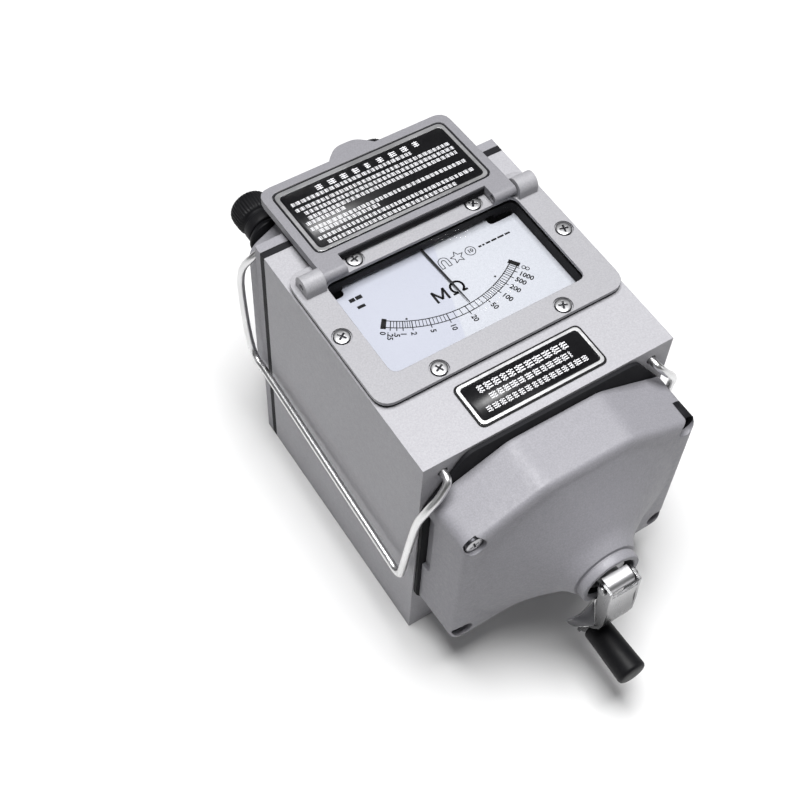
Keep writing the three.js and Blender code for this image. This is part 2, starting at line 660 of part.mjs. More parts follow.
function makeGears() {
  const driveAxis = new THREE.Vector2(0, SHAFT_Z);
  const toIdler = IDLER_AXIS.clone().sub(driveAxis).angle();
  const toRotor = ROTOR_AXIS.clone().sub(IDLER_AXIS).angle();
  const halfTooth = Math.PI / PINION_TEETH;
  const lightening = Array.from({ length: 5 }, (_, i) => {
    const a = 2 * Math.PI * i / 5;
    return rodY(5.6, 18 * Math.cos(a), SHAFT_Z + 18 * Math.sin(a), -52, -44, 16);
  });
  const drive = cut(
    join(gear(DRIVE_TEETH, toIdler, driveAxis, -50, -46), rodY(8.5, 0, SHAFT_Z, -50, -41, 20)),
    rodY(5.3, 0, SHAFT_Z, -52, -40, 24),
    ...lightening,
  );
  add('drive_gear', drive, BRASS);
  const cluster = join(
    gear(PINION_TEETH, toIdler + Math.PI + halfTooth, IDLER_AXIS, -51, -42.5),
    gear(IDLER_TEETH, toRotor, IDLER_AXIS, -43, -39),
    rodY(2.2, IDLER_AXIS.x, IDLER_AXIS.y, -55, FRAME_REAR + 1, 16),
  );
  add('idler_gear', cluster, BRASS);

  const plate = (y0, y1) => prismY(rounded([[-50, 22], [30, 22], [30, 108], [-50, 108]], 6, 3), y0, y1);
  const corners = [[-45, 27], [25, 27], [25, 103], [-45, 103]];
  const frame = cut(
    join(
      plate(FRAME_FRONT, FRAME_FRONT + 2.5),
      plate(FRAME_REAR - 3, FRAME_REAR),
      ...corners.map(([x, z]) => rodY(3, x, z, FRAME_FRONT + 1, FRAME_REAR - 1, 12)),
    ),
    rodY(5.4, 0, SHAFT_Z, FRONT, FRAME_REAR + 4, 24),
    rodY(2.5, IDLER_AXIS.x, IDLER_AXIS.y, FRONT, FRAME_REAR + 4, 16),
    rodY(2.9, 0, ROTOR_Z, FRONT, FRAME_REAR + 4, 16),
  );
  add('gear_frame', frame, STEEL);
}

// ---- Generator ----------------------------------------------------------------------------

function makeGenerator() {
  const { y0, y1, r, boreR } = STATOR;
  const tooth = (a) => {
    const blade = box(-2.6, 2.6, y0 + 5, y1 - 5, 4, 14);
    const shoe = box(-6, 6, y0 + 5, y1 - 5, 12.4, 15.2);
    return [blade, shoe].map((g) => g.rotateY(a).translate(0, 0, ROTOR_Z));
  };
  const pinionPhase = ROTOR_AXIS.clone().sub(IDLER_AXIS).angle() + Math.PI * (1 + 1 / PINION_TEETH);
  const rotor = join(
    rodY(2.5, 0, ROTOR_Z, FRAME_FRONT + 0.5, y1 + 14, 16),
    gear(PINION_TEETH, pinionPhase, ROTOR_AXIS, -44, -38),
    turnedY([[0, -36.6], [9, -36.6], [11, -35.8], [11, -34.2], [0, -34.2]], 0, ROTOR_Z, 24),
    rodY(6, 0, ROTOR_Z, y0 + 3, y1 - 3, 20),
    rodY(6, 0, ROTOR_Z, y1 + 4, y1 + 12, 24),
    ...Array.from({ length: 6 }, (_, i) => tooth(i * Math.PI / 3)).flat(),
  );
  add('generator_rotor', rotor, COPPER);
  const stator = cut(
    join(rodY(r, 0, ROTOR_Z, y0 - 3, y1, 36), box(-r, r, y0 - 3, y1, CASE.wall + GAP, 16)),
    rodY(boreR, 0, ROTOR_Z, y0, y1 + 1, 36),
    rodY(2.9, 0, ROTOR_Z, y0 - 4, y1 + 1, 16),
  );
  add('generator_stator', stator, MAGNET);
  const cap = cut(
    rodY(r, 0, ROTOR_Z, y1 + 0.3, y1 + 3.4, 36),
    rodY(2.9, 0, ROTOR_Z, y1, y1 + 4, 16),
  );
  add('generator_end_plate', cap, STEEL);
  const holder = cut(
    box(-17, 17, y1 + 3.8, y1 + 11, ROTOR_Z - 11, ROTOR_Z + 11),
    rodY(8.6, 0, ROTOR_Z, y1 + 3, y1 + 12, 24),
    ...[-1, 1].map((side) => box(side * 11 - 6, side * 11 + 6, y1 + 5.2, y1 + 9.8, ROTOR_Z - 2.3, ROTOR_Z + 2.3)),
  );
  add('brush_holder', holder, BAKELITE);
  for (const [side, label] of [[-1, 'left'], [1, 'right']]) {
    const [x0, x1] = [side * 6.25, side * 16].sort((a, b) => a - b);
    add(`brush_${label}`, box(x0, x1, y1 + 5.5, y1 + 9.5, ROTOR_Z - 2, ROTOR_Z + 2), MAGNET);
  }
}

// ---- Meter --------------------------------------------------------------------------------

function makeMeter() {
  const { y, magnetR, boreR, coreR, z0, z1, pointerZ, reach } = METER;
  const gap = cut(rodZ(boreR, 0, y, z0 - 1, z1 + 1, 32), rodZ(coreR, 0, y, z0 + 3, z1 - 3, 24));
  const arms = box(-2.2, 2.2, y - boreR - 1, y + boreR + 1, z0 + 4.5, z1 - 4.5);
  add('meter_magnet', join(cut(rodZ(magnetR, 0, y, z0, z1, 32), gap), arms), MAGNET);
  const bridge = join(
    box(-17.2, 17.2, y - 14, y + 12.5, z0 - 2.4, z0 - 0.3),
    ...[-1, 1].map((side) => box(side * 16 - 1.2, side * 16 + 1.2, y - 3, y + 3, z0 - 2.4, 123.5)),
    box(-17.2, 17.2, y - 3, y + 3, 121.5, 123.5),
  );
  const pivots = [rodZ(1.2, 0, y, z0 - 4, z0, 12), rodZ(1.2, 0, y, 120, 125, 12)];
  add('meter_bridge', cut(bridge, ...pivots), BRASS);

  const coil = cut(
    box(-8.9, 8.9, y - 1.7, y + 1.7, z0 + 1, z1 - 1),
    box(-7.4, 7.4, y - 3, y + 3, z0 + 2.4, z1 - 2.4),
    rodZ(1.15, 0, y, z0, z1, 12),
  );
  add('moving_coil', coil, COPPER);
  const blade = [[-1, 6], [1, 6], [0.6, 0], [0.35, -reach + 12], [0.1, -reach], [-0.1, -reach],
    [-0.35, -reach + 12], [-0.6, 0]].map(([a, b]) => new THREE.Vector2(a, b));
  const needle = join(
    rodZ(0.8, 0, y, z1 - 1.9, pointerZ + 0.5, 12),
    prismZ(blade, pointerZ - 0.3, pointerZ + 0.3).rotateZ(POINTER_REST).translate(0, y, 0),
  );
  add('pointer', needle, LABEL);
  add('resistor_board', box(-40, 40, 40, 42, 24, 88), BOARD);
}

// ---- Terminals ----------------------------------------------------------------------------

function makePost(name, { x, z, r, end }) {
  const face = REAR_COVER.face;
  const base = cut(
    turnedY([
      [0, face + 0.15],
      [r + 0.6, face + 0.15],
      [r + 0.6, face + 2],
      [r - 1.2, face + 4.2],
      [0, face + 4.2],
    ], x, z, 24),
    rodY(2.4, x, z, face - 2, face + 6, 16),
  );
  add(`${name}_insulator`, base, BAKELITE);
  const stud = join(rodY(2, x, z, face - 8, end - 6, 16), rodY(4.6, x, z, face - 8, face - 5.8, 6));
  add(`${name}_stud`, stud, BRASS);
  const knob = turnedY([
    [2.4, face + 4.6],
    [r - 1.4, face + 4.6],
    [r - 1, face + 5.2],
    [r - 0.8, face + 9],
    [r - 1.7, face + 9.8],
    [r - 1.7, face + 11],
    [r - 0.3, face + 12],
    [r, end - 5],
    [r - 0.9, end - 2],
    [r - 3.4, end - 0.3],
    [0, end],
    [0, end - 5.4],
    [2.4, end - 5.4],
    [2.4, face + 4.6],
  ], x, z, 20);
  add(`${name}_knob`, knob, BAKELITE);
}

// ---- Assembly -----------------------------------------------------------------------------

makeCase();
makeFrontCover();
makeRearCover();
makeBezel();
makeWindow();
makeLid();
makeBail(-1, 'left');
makeBail(1, 'right');
makeCrank();
makeGears();
makeGenerator();
makeMeter();
for (const [name, post] of Object.entries(POSTS)) makePost(name, post);

export default group;
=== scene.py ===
# Looks for a hand-cranked insulation resistance tester: cast case, hinged lid, dial, crank and terminals.
# Sizes are in millimetres and go through MM. The stage, the lights and the camera are in metres.
import json
import math

import bmesh
import bpy
import numpy as np
from mathutils import Matrix, Vector


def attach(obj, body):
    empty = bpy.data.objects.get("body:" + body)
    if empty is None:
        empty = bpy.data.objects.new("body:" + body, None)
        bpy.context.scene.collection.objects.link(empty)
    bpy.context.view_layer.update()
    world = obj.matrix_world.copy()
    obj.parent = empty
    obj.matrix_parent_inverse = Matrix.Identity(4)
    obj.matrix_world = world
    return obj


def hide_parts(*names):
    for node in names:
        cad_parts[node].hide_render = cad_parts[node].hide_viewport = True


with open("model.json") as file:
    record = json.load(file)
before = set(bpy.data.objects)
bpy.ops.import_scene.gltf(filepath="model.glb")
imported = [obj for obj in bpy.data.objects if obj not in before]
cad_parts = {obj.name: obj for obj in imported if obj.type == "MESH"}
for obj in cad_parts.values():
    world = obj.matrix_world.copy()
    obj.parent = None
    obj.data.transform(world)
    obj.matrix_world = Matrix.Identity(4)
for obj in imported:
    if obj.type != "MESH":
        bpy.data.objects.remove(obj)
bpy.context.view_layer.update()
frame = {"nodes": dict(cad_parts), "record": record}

MM = 0.001
SCENE = bpy.context.scene
COLLECTION = SCENE.collection

FRONT = -60.0
REAR = 60.0
TOP = 135.5
SHAFT_Z = 74.5
SCALE_Z = 128.7
METER_Y = 53.0
HINGE = Vector((0.0, 34.5, 141.7))
LID_TILT = math.radians(-3.4)
BEZEL_SCREWS = ((-54.5, 7.3), (54.5, 7.3), (-30, -25.4), (30, -25.4), (-29.5, 38.5), (29.5, 38.5))    # x, y
# Name, x, z, radius of the knob and the y of its end.
TERMINALS = (("line", -44.5, 117.5, 9.5, 105), ("guard", -12, 113, 6.5, 97), ("earth", 17, 117.5, 9.5, 105))
COVER_SCREWS = ((-52, 111), (52, 111), (-52, 37.5), (52, 37.5))    # x, z; the first sits near the face


# ---- Node helpers -------------------------------------------------------------------------

class Nodes:
    """A short way to write a material's node tree."""

    def __init__(self, name):
        self.material = bpy.data.materials.new(name)
        self.material.use_nodes = True
        self.tree = self.material.node_tree
        self.tree.nodes.clear()
        self.output = self.tree.nodes.new("ShaderNodeOutputMaterial")
        self.position = self.tree.nodes.new("ShaderNodeTexCoord").outputs["Object"]

    def node(self, kind, values=None, **settings):
        node = self.tree.nodes.new(kind)
        for key, value in settings.items():
            setattr(node, key, value)
        for key, value in (values or {}).items():
            self.put(node.inputs[key], value)
        return node

    def put(self, socket, value):
        if isinstance(value, bpy.types.NodeSocket):
            self.tree.links.new(value, socket)
        else:
            socket.default_value = value

    def noise(self, scale, detail=2.0, rough=0.5, vector=None):
        values = {"Scale": scale, "Detail": detail, "Roughness": rough}
        node = self.node("ShaderNodeTexNoise", values)
        self.put(node.inputs["Vector"], vector or self.position)
        return node.outputs["Fac"]

    def stretch(self, scale):
        node = self.node("ShaderNodeMapping", {"Scale": scale})
        self.put(node.inputs["Vector"], self.position)
        return node.outputs["Vector"]

    def mix(self, factor, a, b):
        node = self.node("ShaderNodeMix", data_type="RGBA")
        self.put(node.inputs[0], factor)
        self.put(node.inputs[6], a if isinstance(a, bpy.types.NodeSocket) else (*a, 1))
        self.put(node.inputs[7], b if isinstance(b, bpy.types.NodeSocket) else (*b, 1))
        return node.outputs[2]

    def range(self, value, low, high, to_low, to_high):
        values = {"Value": value, "From Min": low, "From Max": high, "To Min": to_low, "To Max": to_high}
        return self.node("ShaderNodeMapRange", values).outputs["Result"]

    def math(self, operation, a, b=0.0):
        node = self.node("ShaderNodeMath", operation=operation)
        self.put(node.inputs[0], a)
        self.put(node.inputs[1], b)
        return node.outputs[0]

    def round_edges(self, radius):
        return self.node("ShaderNodeBevel", {"Radius": radius * MM}, samples=4).outputs["Normal"]

    def bump(self, height, strength, distance, normal=None):
        node = self.node("ShaderNodeBump", {"Height": height, "Strength": strength, "Distance": distance * MM})
        if normal is not None:
            self.put(node.inputs["Normal"], normal)
        return node.outputs["Normal"]

    def edge_mask(self, rounded):
        geometry = self.node("ShaderNodeNewGeometry").outputs["Normal"]
        dot = self.node("ShaderNodeVectorMath", operation="DOT_PRODUCT")
        self.put(dot.inputs[0], geometry)
        self.put(dot.inputs[1], rounded)
        return self.range(dot.outputs["Value"], 0.995, 0.86, 0.0, 1.0)

    def surface(self, values, normal=None):
        shader = self.node("ShaderNodeBsdfPrincipled", values)
        if normal is not None:
            self.put(shader.inputs["Normal"], normal)
        self.put(self.output.inputs["Surface"], shader.outputs["BSDF"])
        return self.material


def painted(name, tone, worn, grain=0.5, metal=0.06, edge=0.5):
    """Fine sand-textured paint over a casting, rubbed lighter along its edges."""
    n = Nodes(name)
    rounded = n.round_edges(edge)
    cloud = n.noise(14, 3)
    speck = n.noise(1500, 2, 0.6)
    mottle = n.noise(420, 3, 0.55)
    dark = tuple(c * 0.90 for c in tone)
    light = tuple(min(1.0, c * 1.08) for c in tone)
    colour = n.mix(n.range(speck, 0.35, 0.68, 0, 1), dark, light)
    colour = n.mix(n.range(cloud, 0.35, 0.7, 0.0, 0.22), colour, tuple(c * 0.86 for c in tone))
    rub = n.math("MULTIPLY", n.edge_mask(rounded), n.range(n.noise(160, 4, 0.6), 0.46, 0.66, 0.0, 0.55))
    colour = n.mix(rub, colour, worn)
    rough = n.range(mottle, 0.3, 0.7, 0.46, 0.62)
    height = n.math("ADD", n.math("MULTIPLY", speck, 0.55), n.math("MULTIPLY", mottle, 0.45))
    normal = n.bump(height, grain, 0.16, rounded)
    return n.surface({"Base Color": colour, "Metallic": metal, "Roughness": rough}, normal)


def bright_metal(name, tone, rough=0.1, smudge=0.12, edge=0.25, along=(1, 1, 1), scratch=0.05):
    """Plated or turned metal with faint smudges and fine lines."""
    n = Nodes(name)
    lines = n.noise(900, 3, 0.6, n.stretch(along))
    cloud = n.noise(60, 4, 0.6)
    colour = n.mix(n.range(cloud, 0.4, 0.75, 0, 0.35), tone, tuple(c * 0.78 for c in tone))
    spread = n.math("ADD", n.range(cloud, 0.35, 0.75, rough, rough + smudge), n.range(lines, 0.4, 0.7, 0, 0.05))
    normal = n.bump(lines, scratch, 0.05, n.round_edges(edge))
    return n.surface({"Base Color": colour, "Metallic": 1.0, "Roughness": spread}, normal)


def sheet_metal():
    """Bright plating on the crank's arm, with painted shade that darkens it from the hinge down to the foot."""
    n = Nodes("chrome_sheet")
    lines = n.noise(900, 3, 0.6, n.stretch((1, 1, 0.06)))
    cloud = n.noise(60, 4, 0.6)
    axes = n.node("ShaderNodeSeparateXYZ")
    n.put(axes.inputs[0], n.position)
    # Painted shade: the colour runs from near black low on the arm to bright plating near the hinge.
    height = n.math("ADD", axes.outputs["Z"], n.math("MULTIPLY", cloud, 0.006))
    colour = n.mix(n.range(height, 0.058, 0.094, 0, 1), (0.02, 0.02, 0.022), (0.55, 0.55, 0.56))
    spread = n.math("ADD", n.range(cloud, 0.35, 0.75, 0.2, 0.3), n.range(lines, 0.4, 0.7, 0, 0.05))
    normal = n.bump(lines, 0.04, 0.05, n.round_edges(0.15))
    return n.surface({"Base Color": colour, "Metallic": 1.0, "Roughness": spread}, normal)


def moulded(name, tone, rough, grain, edge=0.3):
    """Moulded plastic or rubber: faint unevenness, dust and small scuffs."""
    n = Nodes(name)
    fine = n.noise(1100, 3, 0.6)
    dust = n.noise(85, 5, 0.65)
    lighter = tuple(c + 0.007 for c in tone)
    colour = n.mix(n.range(dust, 0.5, 0.78, 0, 0.5), tone, lighter)
    spread = n.range(dust, 0.35, 0.75, rough, rough + 0.16)
    normal = n.bump(fine, grain, 0.08, n.round_edges(edge))
    values = {
        "Base Color": colour,
        "Roughness": spread,
        "Specular IOR Level": 0.14,
    }
    return n.surface(values, normal)


def glass_material():
    n = Nodes("window_glass_look")
    smear = n.noise(38, 4, 0.6)
    values = {
        "Base Color": (0.02, 0.02, 0.02, 1),
        "Roughness": n.range(smear, 0.4, 0.8, 0.02, 0.09),
        "Alpha": 0.035,
        "IOR": 1.45,
        "Specular IOR Level": 0.3,
    }
    return n.surface(values, n.bump(smear, 0.02, 0.1))


def paper_material():
    """Printed dial face, with painted shade: darker and cooler to the left of a slanting line."""
    n = Nodes("dial_face_look")
    fibre = n.noise(1300, 3, 0.6)
    axes = n.node("ShaderNodeSeparateXYZ")
    n.put(axes.inputs[0], n.position)
    # Painted shade: left of the slanting line the face is mixed towards a darker, bluer grey.
    slant = n.math("SUBTRACT", axes.outputs["X"], n.math("MULTIPLY", axes.outputs["Y"], 0.33))
    painted_shade_edge = n.range(slant, -0.0042, -0.0036, 0.0, 1.0)
    plain = n.mix(n.range(fibre, 0.3, 0.7, 0, 1), (0.40, 0.415, 0.455), (0.45, 0.465, 0.505))
    colour = n.mix(painted_shade_edge, n.mix(0.6, plain, (0.355, 0.37, 0.445)), plain)
    return n.surface({"Base Color": colour, "Roughness": 0.55}, n.bump(fibre, 0.08, 0.04))


def ink_material(name, tone):
    n = Nodes(name)
    grain = n.noise(1800, 3, 0.6)
    colour = n.mix(n.range(grain, 0.45, 0.75, 0, 0.3), tone, tuple(c * 0.85 + 0.008 for c in tone))
    values = {"Base Color": colour, "Roughness": 0.5, "Specular IOR Level": 0.2}
    return n.surface(values, n.bump(grain, 0.06, 0.03))


def label_material():
    """Anodised black plate with a fine sparkle."""
    n = Nodes("label_black_look")
    grain = n.noise(2200, 3, 0.7)
    wear = n.noise(120, 5, 0.7)
    colour = n.mix(n.range(grain, 0.5, 0.78, 0, 0.5), (0.004, 0.004, 0.005), (0.05, 0.05, 0.055))
    spread = n.range(wear, 0.35, 0.75, 0.32, 0.5)
    return n.surface({"Base Color": colour, "Roughness": spread, "Metallic": 0.2}, n.bump(grain, 0.1, 0.04))


def copper_material():
    n = Nodes("winding_look")
    turns = n.node("ShaderNodeTexWave", {"Scale": 700.0, "Distortion": 1.5, "Detail": 2.0})
    n.put(turns.inputs["Vector"], n.position)
    colour = n.mix(turns.outputs["Fac"], (0.30, 0.09, 0.03), (0.62, 0.26, 0.11))
    normal = n.bump(turns.outputs["Fac"], 0.5, 0.2)
    return n.surface({"Base Color": colour, "Roughness": 0.4, "Metallic": 0.7}, normal)


def board_material():
    n = Nodes("laminate_look")
    weave = n.noise(500, 4, 0.6, n.stretch((1, 1, 6)))
    colour = n.mix(weave, (0.12, 0.06, 0.02), (0.26, 0.15, 0.06))
    return n.surface({"Base Color": colour, "Roughness": 0.6}, n.bump(weave, 0.3, 0.1))


CASE = painted("case_paint", (0.325, 0.322, 0.342), (0.60, 0.60, 0.62))
COVER = painted("cover_paint", (0.232, 0.229, 0.250), (0.52, 0.52, 0.54))
BEZEL = painted("bezel_paint", (0.282, 0.280, 0.296), (0.60, 0.60, 0.62), grain=0.35)
LID = painted("lid_paint", (0.196, 0.194, 0.210), (0.52, 0.52, 0.54), grain=0.35)
# Black rubber for the gaskets, plates and strips; also painted shade as the lining of the front cover's screw
# pockets.
RUBBER_AND_PAINTED_SHADE = moulded("black_rubber_and_painted_shade", (0.010, 0.010, 0.012), 0.62, 0.35)
BAKELITE = moulded("bakelite", (0.005, 0.005, 0.006), 0.42, 0.12, 0.35)
CHROME = bright_metal("chrome_wire", (0.70, 0.70, 0.70), 0.27, 0.06, 0.25, (1, 1, 1), 0.02)
PLATED = sheet_metal()
STEEL = bright_metal("screw_steel", (0.50, 0.50, 0.51), 0.34, 0.12, 0.2, (1, 1, 1), 0.12)
# Near-black steel: painted shade in the screws' slots and round their heads, and the dark sheet of the arm's
# lip.
DARK_STEEL_AND_SHADE = bright_metal("dark_steel_and_painted_shade", (0.05, 0.05, 0.055), 0.3, 0.12, 0.2, (1, 1, 1), 0.2)
SILVER = bright_metal("plate_rim", (0.86, 0.86, 0.87), 0.28, 0.1, 0.1, (0.08, 1, 1), 0.12)
BRASS = bright_metal("brass", (0.72, 0.52, 0.22), 0.22, 0.16, 0.2, (1, 1, 1), 0.1)
MAGNET = painted("magnet_steel", (0.05, 0.05, 0.055), (0.3, 0.3, 0.3), 0.4, 0.6)
GLASS = glass_material()
PAPER = paper_material()
INK = ink_material("black_ink", (0.003, 0.003, 0.0035))
WHITE_INK = ink_material("white_ink", (0.66, 0.66, 0.68))
LABEL = label_material()
COPPER = copper_material()
BOARD = board_material()

SLOT_LOOKS = {
    "paint": CASE,
    "pale_paint": BEZEL,
    "gasket": RUBBER_AND_PAINTED_SHADE,
    "chrome": CHROME,
    "steel": STEEL,
    "brass": BRASS,
    "bakelite": BAKELITE,
    "glass": GLASS,
    "dial": PAPER,
    "label": LABEL,
    "magnet": MAGNET,
    "copper": COPPER,
    "board": BOARD,
}


# ---- CAD nodes: smooth shading, small bevels and materials ---------------------------------

def clean_edges(obj, bevel):
    """Joins the facets of a flat face, breaks the sharp edges and keeps the rest smooth."""
    weld = obj.modifiers.new("weld", "WELD")
    weld.merge_threshold = 0.002 * MM
    planar = obj.modifiers.new("planar", "DECIMATE")
    planar.decimate_type = "DISSOLVE"
    planar.angle_limit = math.radians(0.6)
    obj.data.shade_smooth()
    if bevel:
        add_bevel(obj, bevel, 32)
        weighted = obj.modifiers.new("face_normals", "WEIGHTED_NORMAL")
        weighted.mode = "FACE_AREA"
        weighted.weight = 100


def add_bevel(obj, width, angle):
    modifier = obj.modifiers.new("bevel", "BEVEL")
    modifier.width = width * MM
    modifier.segments = 2
    modifier.limit_method = "ANGLE"
    modifier.angle_limit = math.radians(angle)
    modifier.harden_normals = True


for part in frame["record"]["subparts"]:
    node = frame["nodes"][part["node"]]
    node.data.materials.clear()
    node.data.materials.append(SLOT_LOOKS[part["material_slot"]])


# ---- Mesh helpers -------------------------------------------------------------------------

def make_mesh(name, verts, faces, look, body, smooth=True):
    mesh = bpy.data.meshes.new(name)
    mesh.from_pydata([tuple(c * MM for c in v) for v in verts], [], faces)
    bm = bmesh.new()
    bm.from_mesh(mesh)
    bmesh.ops.remove_doubles(bm, verts=bm.verts, dist=0.0004 * MM)
    bmesh.ops.recalc_face_normals(bm, faces=bm.faces)
    bm.to_mesh(mesh)
    bm.free()
    mesh.materials.append(look)
    if smooth:
        mesh.shade_smooth()
    obj = bpy.data.objects.new(name, mesh)
    COLLECTION.objects.link(obj)
    if body:
        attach(obj, body)
    return obj


def rounded(points, radius, steps=8):
    """Outline with its corners rounded by short quadratic curves."""
    out = []
    count = len(points)
    for i, corner in enumerate(points):
        corner = Vector(corner)
        before = Vector(points[i - 1])
        after = Vector(points[(i + 1) % count])
        r = radius[i] if isinstance(radius, (list, tuple)) else radius
        start = corner + (before - corner).normalized() * r
        end = corner + (after - corner).normalized() * r
        for k in range(steps + 1):
            t = k / steps
            out.append(start * (1 - t) ** 2 + corner * 2 * t * (1 - t) + end * t ** 2)
    return out


def rectangle(half, low, high, radius, steps=8):
    return rounded([(-half, low), (half, low), (half, high), (-half, high)], radius, steps)


def as_drawn(u, v, w):
    return (u, v, w)


def prism(name, outline, low, high, look, body, place=as_drawn, bevel=0.15):
    """Flat-ended piece: an outline (u, v) from w = low to w = high."""
    count = len(outline)
    verts = [place(p[0], p[1], w) for w in (low, high) for p in outline]
    faces = [list(range(count))[::-1], list(range(count, 2 * count))]
    faces += [(i, (i + 1) % count, count + (i + 1) % count, count + i) for i in range(count)]
    obj = make_mesh(name, verts, faces, look, body)
    if bevel:
        add_bevel(obj, bevel, 40)
    return obj


def frame_ring(name, outer, inner, low, high, look, body, place=as_drawn, bevel=0.1):
    """Closed band between two outlines that have the same number of points."""
    count = len(outer)
    loops = [(outer, low), (outer, high), (inner, high), (inner, low)]
    verts = [place(p[0], p[1], w) for outline, w in loops for p in outline]
    faces = []
    for k in range(4):
        for i in range(count):
            j = (i + 1) % count
            m = (k + 1) % 4
            faces.append((k * count + i, k * count + j, m * count + j, m * count + i))
    obj = make_mesh(name, verts, faces, look, body)
    if bevel:
        add_bevel(obj, bevel, 40)
    return obj


def lathe(name, profile, look, body, place, sides=64):
    """Closed turned piece from (radius, height) pairs that start and end on the axis or close."""
    closed = profile[0][0] > 0
    verts = []
    for r, h in profile:
        for k in range(sides):
            a = 2 * math.pi * k / sides
            verts.append(place(r * math.cos(a), r * math.sin(a), h))
    faces = []
    rows = len(profile)
    for i in range(rows if closed else rows - 1):
        j = (i + 1) % rows
        for k in range(sides):
            m = (k + 1) % sides
            faces.append((i * sides + k, i * sides + m, j * sides + m, j * sides + k))
    return make_mesh(name, verts, faces, look, body)


def sweep(name, points, radius, look, body, steps):
    """Round wire along a centripetal curve through the points."""
    path = smooth_path([Vector(p) for p in points], steps)
    data = bpy.data.curves.new(name, "CURVE")
    data.dimensions = "3D"
    data.bevel_depth = radius * MM
    data.bevel_resolution = 6
    data.use_fill_caps = True
    spline = data.splines.new("POLY")
    spline.points.add(len(path) - 1)
    for point, place in zip(spline.points, path):
        point.co = (*(place * MM), 1)
    spline.use_smooth = True
    data.materials.append(look)
    obj = bpy.data.objects.new(name, data)
    COLLECTION.objects.link(obj)
    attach(obj, body)
    return obj


def smooth_path(points, steps):
    ends = [points[0] * 2 - points[1]] + points + [points[-1] * 2 - points[-2]]
    out = []
    for i in range(1, len(ends) - 2):
        p0, p1, p2, p3 = ends[i - 1:i + 3]
        t1 = (p1 - p0).length ** 0.5
        t2 = t1 + (p2 - p1).length ** 0.5
        t3 = t2 + (p3 - p2).length ** 0.5
        for k in range(steps):
            t = t1 + (t2 - t1) * k / steps
            a1 = p0 * ((t1 - t) / t1) + p1 * (t / t1)
            a2 = p1 * ((t2 - t) / (t2 - t1)) + p2 * ((t - t1) / (t2 - t1))
            a3 = p2 * ((t3 - t) / (t3 - t2)) + p3 * ((t - t2) / (t3 - t2))
            b1 = a1 * ((t2 - t) / t2) + a2 * (t / t2)
            b2 = a2 * ((t3 - t) / (t3 - t1)) + a3 * ((t - t1) / (t3 - t1))
            out.append(b1 * ((t2 - t) / (t2 - t1)) + b2 * ((t - t1) / (t2 - t1)))
    out.append(points[-1])
    return out


def bake_cuts(obj, cutters):
    """Cuts the shapes away for good and removes the cutters."""
    for cutter in cutters:
        modifier = obj.modifiers.new("cut", "BOOLEAN")
        modifier.operation = "DIFFERENCE"
        modifier.solver = "EXACT"
        modifier.object = cutter
    graph = bpy.context.evaluated_depsgraph_get()
    mesh = bpy.data.meshes.new_from_object(obj.evaluated_get(graph))
    obj.modifiers.clear()
    obj.data = mesh
    for cutter in cutters:
        bpy.data.objects.remove(cutter)


def along_y(x, z):
    return lambda u, v, w: (x + u, w, z + v)


def along_front(x, z):
    return lambda u, v, w: (x + u, -w, z + v)


def along_z(x, y):
    return lambda u, v, w: (x + u, y + v, w)


def along_x(y, z):
    return lambda u, v, w: (w, y + u, z + v)


def on_lid(u, v, w):
    """A point drawn level on the lid, with its hinge line at v = 0, as it lies when open."""
    p = Matrix.Rotation(LID_TILT, 3, "X") @ Vector((u, v, w))
    return (p.x + HINGE.x, p.y + HINGE.y, p.z + HINGE.z)


# ---- Front cover --------------------------------------------------------------------------

def cover_outline(inset):
    """The front cover's outline seen from the front, drawn in by inset."""
    top, shoulder = 128.5, 113.5
    side = 57.5 - inset
    low = 28.5 + inset
    flat = 22 - inset * 0.3
    corner = 6 - min(inset, 3) * 0.6
    return rounded([
        (-side, low),
        (side, low),
        (side, shoulder - inset * 0.6),
        (flat, top - inset),
        (-flat, top - inset),
        (-side, shoulder - inset * 0.6),
    ], [corner, corner, 3.5, 2.5, 2.5, 3.5], 12)


def resample(outline, count):
    """The same closed outline with its points evenly spaced, starting low on the left."""
    points = [Vector((p[0], p[1])) for p in outline]
    lengths = [(points[(i + 1) % len(points)] - p).length for i, p in enumerate(points)]
    total = sum(lengths)
    out = []
    i = 0
    run = 0.0
    for k in range(count):
        goal = total * k / count
        while run + lengths[i] < goal:
            run += lengths[i]
            i += 1
        t = (goal - run) / lengths[i]
        out.append(points[i].lerp(points[(i + 1) % len(points)], t))
    return out


def loft(name, rings, look, body):
    """Skin over rings that have the same number of points, closed at both ends."""
    count = len(rings[0])
    verts = [p for ring in rings for p in ring]
    faces = []
    for k in range(len(rings) - 1):
        for i in range(count):
            j = (i + 1) % count
            faces.append((k * count + i, k * count + j, (k + 1) * count + j, (k + 1) * count + i))
    faces.append(list(range(count)))
    last = (len(rings) - 1) * count
    faces.append([last + i for i in range(count)][::-1])
    return make_mesh(name, verts, faces, look, body)


